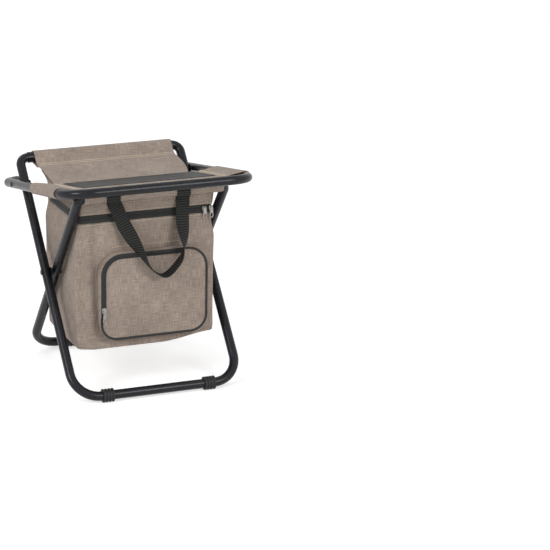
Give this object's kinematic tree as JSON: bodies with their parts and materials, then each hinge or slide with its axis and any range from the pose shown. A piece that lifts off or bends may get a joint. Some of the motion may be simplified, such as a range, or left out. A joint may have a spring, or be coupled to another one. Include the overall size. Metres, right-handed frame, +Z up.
{
  "type": "folding cooler stool",
  "caption": "Folding stool of three crossed tube frames with a cloth sling seat and an insulated, zipped cooler bag hung between the legs.",
  "frame": {"origin": "on the floor, under the middle of the open stool's bounding box", "axes": "+Z up, +X to the right of someone facing the pocket, -Y the side with the pocket and handle"},
  "size_m": [0.3614, 0.382, 0.3917],
  "materials": {
    "black_tube": "satin",
    "rivet": "gloss",
    "slider": "gloss",
    "black_plastic": "matte",
    "melange_cloth": "matte",
    "coated_cloth": "satin",
    "zip_tape": "matte",
    "webbing": "matte",
    "foam": "matte",
    "foil": "gloss",
    "base_board": "matte"
  },
  "bodies": {
    "outer_legs": {"outer_leg_frame": "black_tube", "rear_top_rail": "black_tube", "rear_sleeve": "melange_cloth", "lid_panel": "melange_cloth", "outer_foot_left": "black_plastic", "outer_foot_right": "black_plastic", "leg_rivet_left": "rivet", "leg_rivet_right": "rivet", "leg_washer_left": "black_plastic", "leg_washer_right": "black_plastic", "seat_rivet_left": "rivet", "seat_rivet_right": "rivet", "seat_washer_left": "black_plastic", "seat_washer_right": "black_plastic"},
    "inner_legs": {"inner_leg_frame": "black_tube", "front_top_rail": "black_tube", "front_sleeve": "melange_cloth", "inner_foot_left": "black_plastic", "inner_foot_right": "black_plastic"},
    "seat": {"seat_frame": "black_tube", "seat_sling": "melange_cloth", "seat_panel": "coated_cloth", "seat_plug_left": "black_plastic", "seat_plug_right": "black_plastic"},
    "bag": {"bag_shell": "melange_cloth", "insulation_foam": "foam", "foil_liner": "foil", "base_board": "base_board", "main_zip_tape": "zip_tape", "bag_upper_wall": "melange_cloth", "front_flap": "melange_cloth", "pocket_pouch": "melange_cloth", "pocket_zip_tape": "zip_tape", "pocket_piping": "zip_tape", "main_slider_right": "slider"},
    "main_slider": {"main_slider_left": "slider"},
    "main_pull_on_left": {"main_pull_left": "slider"},
    "main_pull_on_right": {"main_pull_right": "slider"},
    "pocket_zip_slider": {"pocket_slider": "slider"},
    "pocket_zip_pull": {"pocket_pull": "slider"},
    "handle": {"carry_handle": "webbing"}
  },
  "joints": [
    {"name": "leg_fold", "type": "hinge", "parent": "outer_legs", "child": "inner_legs", "pos_m": [0, -0.00002, 0.194], "axis": [-1, 0, 0], "range_deg": [0, 74.5], "deforming": ["lid_panel", "rear_sleeve", "front_sleeve", "bag_upper_wall", "front_flap", "bag_shell", "main_zip_tape", "insulation_foam", "foil_liner", "base_board", "seat_sling", "seat_panel"]},
    {"name": "seat_fold", "type": "hinge", "parent": "outer_legs", "child": "seat", "pos_m": [0, 0.1166, 0.32581], "axis": [1, 0, 0], "range_deg": [0, 47.4]},
    {"name": "bag_swing", "type": "hinge", "parent": "inner_legs", "child": "bag", "pos_m": [0, -0.13116, 0.36184], "axis": [1, 0, 0], "range_deg": [0, 33.2]},
    {"name": "handle_swing", "type": "hinge", "parent": "bag", "child": "handle", "pos_m": [0, -0.10687, 0.34442], "axis": [-1, 0, 0], "range_deg": [0, 75]},
    {"name": "main_slider_slide", "type": "slide", "parent": "bag", "child": "main_slider", "axis": [-1, 0, 0], "range_m": [0, 0.2]},
    {"name": "main_pull_left_swing", "type": "hinge", "parent": "main_slider", "child": "main_pull_on_left", "pos_m": [0.107, -0.10255, 0.3173], "axis": [-1, 0, 0], "range_deg": [0, 110]},
    {"name": "main_pull_right_swing", "type": "hinge", "parent": "bag", "child": "main_pull_on_right", "pos_m": [0.1193, -0.10255, 0.3173], "axis": [-1, 0, 0], "range_deg": [0, 110]},
    {"name": "pocket_slider_slide", "type": "slide", "parent": "bag", "child": "pocket_zip_slider", "axis": [0, 0, 1], "range_m": [0, 0.05]},
    {"name": "pocket_pull_swing", "type": "hinge", "parent": "pocket_zip_slider", "child": "pocket_zip_pull", "pos_m": [-0.0845, -0.12065, 0.1553], "axis": [-1, 0, 0], "range_deg": [0, 110]}
  ],
  "couplings": [
    {"joint": "seat_fold", "follows": "leg_fold", "ratio": 0.635},
    {"joint": "bag_swing", "follows": "leg_fold", "ratio": 0.443}
  ]
}
